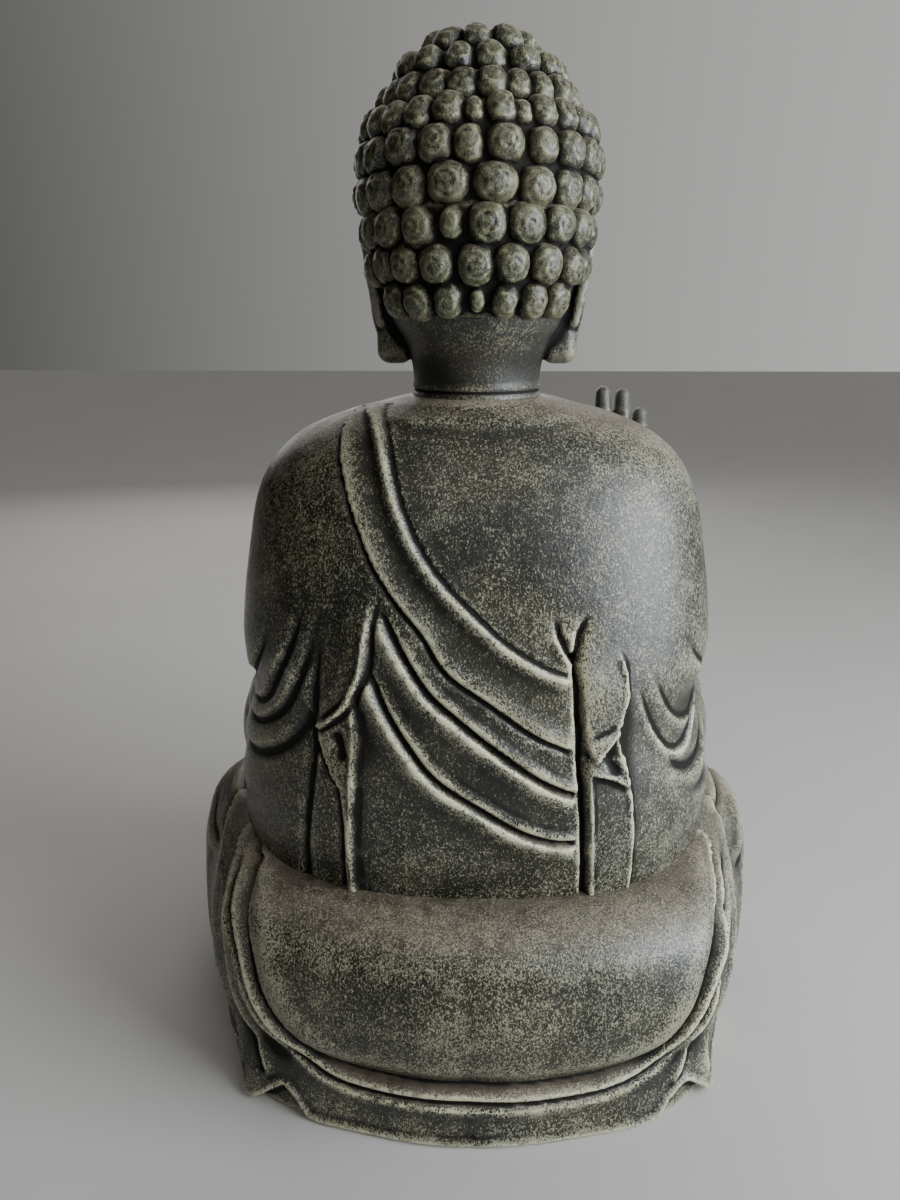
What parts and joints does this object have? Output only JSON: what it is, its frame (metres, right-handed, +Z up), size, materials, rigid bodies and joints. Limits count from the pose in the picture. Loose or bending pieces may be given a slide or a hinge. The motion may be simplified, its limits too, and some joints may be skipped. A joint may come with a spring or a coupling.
{
  "type": "seated buddha statue",
  "caption": "Seated cross-legged Buddha in a robe over the left shoulder, snail-shell curls, right hand raised; hollow sectional casting with an antiqued bronze finish.",
  "frame": {"origin": "centre of the underside's bounding rectangle, on the felt's lower face", "axes": "+Z up, the figure faces -Y, its own left side is +X and its raised right hand is at -X"},
  "size_m": [0.3, 0.232, 0.4496],
  "materials": {
    "robe": "antiqued bronze cold-cast resin, fine pitted grain with pale dry-brushed ridges",
    "skin": "antiqued bronze cold-cast resin, darker and smoother than the robe",
    "hair": "antiqued bronze cold-cast resin with greenish-gold crowns and dark gaps",
    "steel": "zinc-plated steel",
    "wood": "plain unvarnished wood and board",
    "felt": "dark green wool felt"
  },
  "bodies": {
    "root": {"lap_casting": "robe", "torso_casting": "robe", "right_sleeve": "robe", "left_sleeve": "robe", "right_hand": "skin", "left_hand": "skin", "head_casting": "skin", "nape_curls": "hair", "scalp_curls": "hair", "topknot_curls": "hair", "urna_bead": "skin", "neck_insert": "steel", "tie_rod": "steel", "tie_nut": "steel", "tie_washer": "steel", "torso_dowels": "wood", "right_wrist_pin": "steel", "left_wrist_pin": "steel", "base_board": "wood", "base_screws": "steel", "felt_pad": "felt"}
  },
  "joints": []
}
